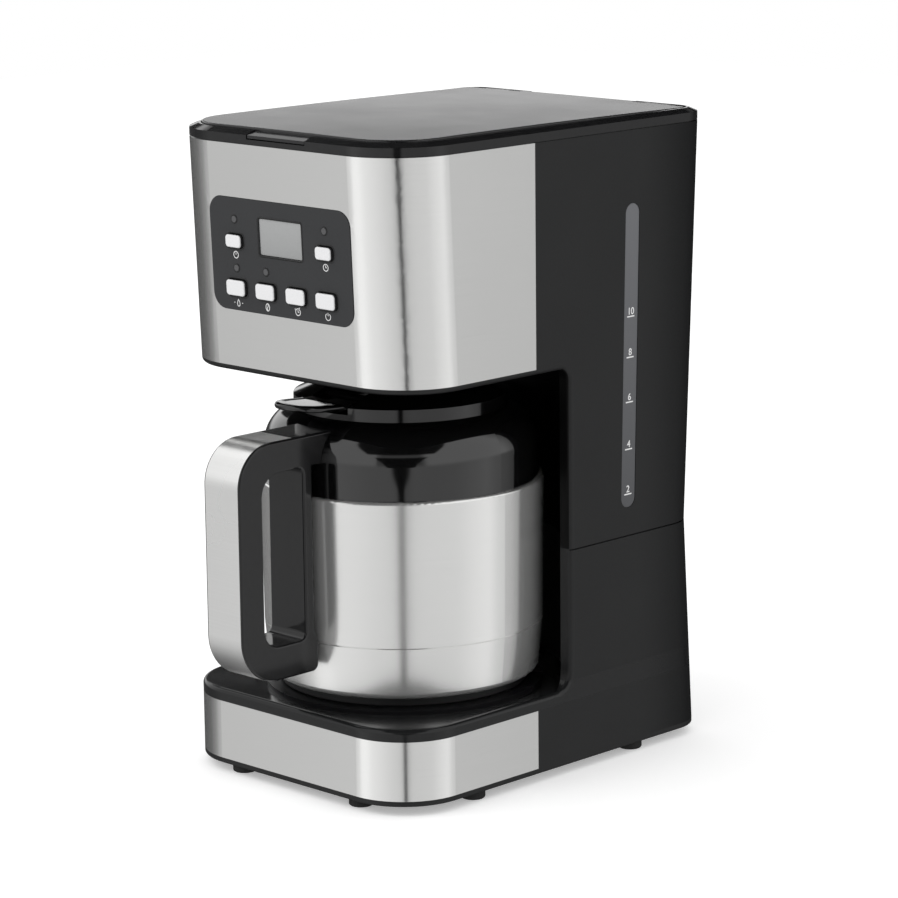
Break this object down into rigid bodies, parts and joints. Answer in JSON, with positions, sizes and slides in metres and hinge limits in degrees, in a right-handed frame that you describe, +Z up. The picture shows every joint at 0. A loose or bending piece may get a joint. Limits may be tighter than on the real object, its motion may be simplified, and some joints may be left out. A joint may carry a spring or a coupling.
{
  "type": "drip coffee maker",
  "caption": "Drip coffee maker with a leaning steel-banded head, side water gauge, keypad and display, hinged brew lid, and a handled steel vacuum carafe in an open bay.",
  "frame": {"origin": "middle of the overall footprint, on the table", "axes": "+Z up, -Y to the front (handle and control panel), +X to the side with the water gauge"},
  "size_m": [0.175, 0.278, 0.3471],
  "materials": {
    "brushed_steel": "brushed",
    "gloss_black": "polished",
    "satin_black": "fine texture",
    "panel_black": "satin",
    "button_grey": "satin",
    "display_glass": "clear",
    "display_green": "satin",
    "lens_amber": "clear tint",
    "gauge_clear": "frosted",
    "tank_smoke": "frosted",
    "rest_black": "satin",
    "plain_steel": "plain",
    "cast_aluminium": "as cast",
    "soft_rubber": "matt",
    "inner_black": "matt",
    "board_green": "matt",
    "switch_black": "matt"
  },
  "bodies": {
    "machine": {"head_steel_band": "brushed_steel", "base_steel_band": "brushed_steel", "top_rim": "gloss_black", "upper_housing": "satin_black", "lower_housing": "satin_black", "bottom_pan": "satin_black", "cord_gland": "satin_black", "control_fascia": "panel_black", "display_lens": "display_glass", "display_module": "display_green", "indicator_lenses": "lens_amber", "gauge_window": "gauge_clear", "water_tank": "tank_smoke", "carafe_rest": "rest_black", "base_screws": "plain_steel", "board_screws": "plain_steel", "hinge_pins": "plain_steel", "drip_stop_spring": "plain_steel", "mesh_filter": "plain_steel", "thermal_fuse": "plain_steel", "thermostat": "plain_steel", "heater_block": "cast_aluminium", "rubber_feet": "soft_rubber", "inlet_hose": "soft_rubber", "riser_hose": "soft_rubber", "top_tray": "inner_black", "filter_basket": "inner_black", "check_valve": "inner_black", "riser_outlet": "inner_black", "control_board": "board_green", "power_board": "board_green", "tact_switches": "switch_black"},
    "brew_lid": {"brew_lid": "gloss_black", "lid_water_duct": "inner_black", "shower_plate": "inner_black"},
    "hour_button": {"hour_button": "button_grey"},
    "minute_button": {"minute_button": "button_grey"},
    "clean_button": {"clean_button": "button_grey"},
    "strong_button": {"strong_button": "button_grey"},
    "program_button": {"program_button": "button_grey"},
    "power_button": {"power_button": "button_grey"},
    "drip_stop": {"drip_stop": "inner_black", "drip_stop_seal": "soft_rubber"},
    "check_ball": {"check_ball": "plain_steel"},
    "carafe": {"carafe_foot": "satin_black", "carafe_base_cup": "brushed_steel", "carafe_shell": "brushed_steel", "vacuum_flask": "plain_steel", "flask_support": "soft_rubber", "carafe_collar": "gloss_black", "handle_grip": "gloss_black", "handle_strap": "brushed_steel", "handle_bracket": "plain_steel", "handle_screw": "plain_steel"},
    "carafe_lid": {"carafe_lid": "gloss_black", "lid_gasket": "soft_rubber", "lever_pin": "plain_steel", "pour_valve_spring": "plain_steel"},
    "pour_lever": {"pour_lever": "gloss_black"},
    "pour_valve": {"pour_valve": "inner_black"}
  },
  "joints": [
    {"name": "lid_hinge", "type": "hinge", "parent": "machine", "child": "brew_lid", "pos_m": [0, 0.12995, 0.34335], "axis": [-1, 0, 0], "range_deg": [0, 95]},
    {"name": "carafe_slide", "type": "slide", "parent": "machine", "child": "carafe", "axis": [0, -1, 0], "range_m": [0, 0.24]},
    {"name": "carafe_lid_turn", "type": "hinge", "parent": "carafe", "child": "carafe_lid", "pos_m": [0, -0.01, 0.19525], "axis": [0, 0, 1], "range_deg": [0, 60]},
    {"name": "pour_lever_pivot", "type": "hinge", "parent": "carafe_lid", "child": "pour_lever", "pos_m": [0, -0.048, 0.20225], "axis": [1, 0, 0], "range_deg": [0, 7], "stiffness_Nm_per_rad": 0.3},
    {"name": "pour_valve_lift", "type": "slide", "parent": "carafe_lid", "child": "pour_valve", "axis": [0, 0, 1], "range_m": [0, 0.00403], "deforming": ["pour_valve_spring"]},
    {"name": "drip_stop_lift", "type": "slide", "parent": "machine", "child": "drip_stop", "axis": [0, 0, 1], "range_m": [0, 0.0035], "stiffness_N_per_m": 150, "deforming": ["drip_stop_spring"]},
    {"name": "check_ball_lift", "type": "slide", "parent": "machine", "child": "check_ball", "axis": [0, 0, 1], "range_m": [0, 0.0024]},
    {"name": "hour_button_press", "type": "slide", "parent": "machine", "child": "hour_button", "axis": [0, 0.9991, 0.0424], "range_m": [0, 0.0012], "stiffness_N_per_m": 200},
    {"name": "minute_button_press", "type": "slide", "parent": "machine", "child": "minute_button", "axis": [0, 0.9991, 0.0424], "range_m": [0, 0.0012], "stiffness_N_per_m": 200},
    {"name": "clean_button_press", "type": "slide", "parent": "machine", "child": "clean_button", "axis": [0, 0.9991, 0.0424], "range_m": [0, 0.0012], "stiffness_N_per_m": 200},
    {"name": "strong_button_press", "type": "slide", "parent": "machine", "child": "strong_button", "axis": [0, 0.9991, 0.0424], "range_m": [0, 0.0012], "stiffness_N_per_m": 200},
    {"name": "program_button_press", "type": "slide", "parent": "machine", "child": "program_button", "axis": [0, 0.9991, 0.0424], "range_m": [0, 0.0012], "stiffness_N_per_m": 200},
    {"name": "power_button_press", "type": "slide", "parent": "machine", "child": "power_button", "axis": [0, 0.9991, 0.0424], "range_m": [0, 0.0012], "stiffness_N_per_m": 200}
  ],
  "couplings": [
    {"joint": "pour_valve_lift", "follows": "pour_lever_pivot", "m_per_rad": 0.033}
  ]
}
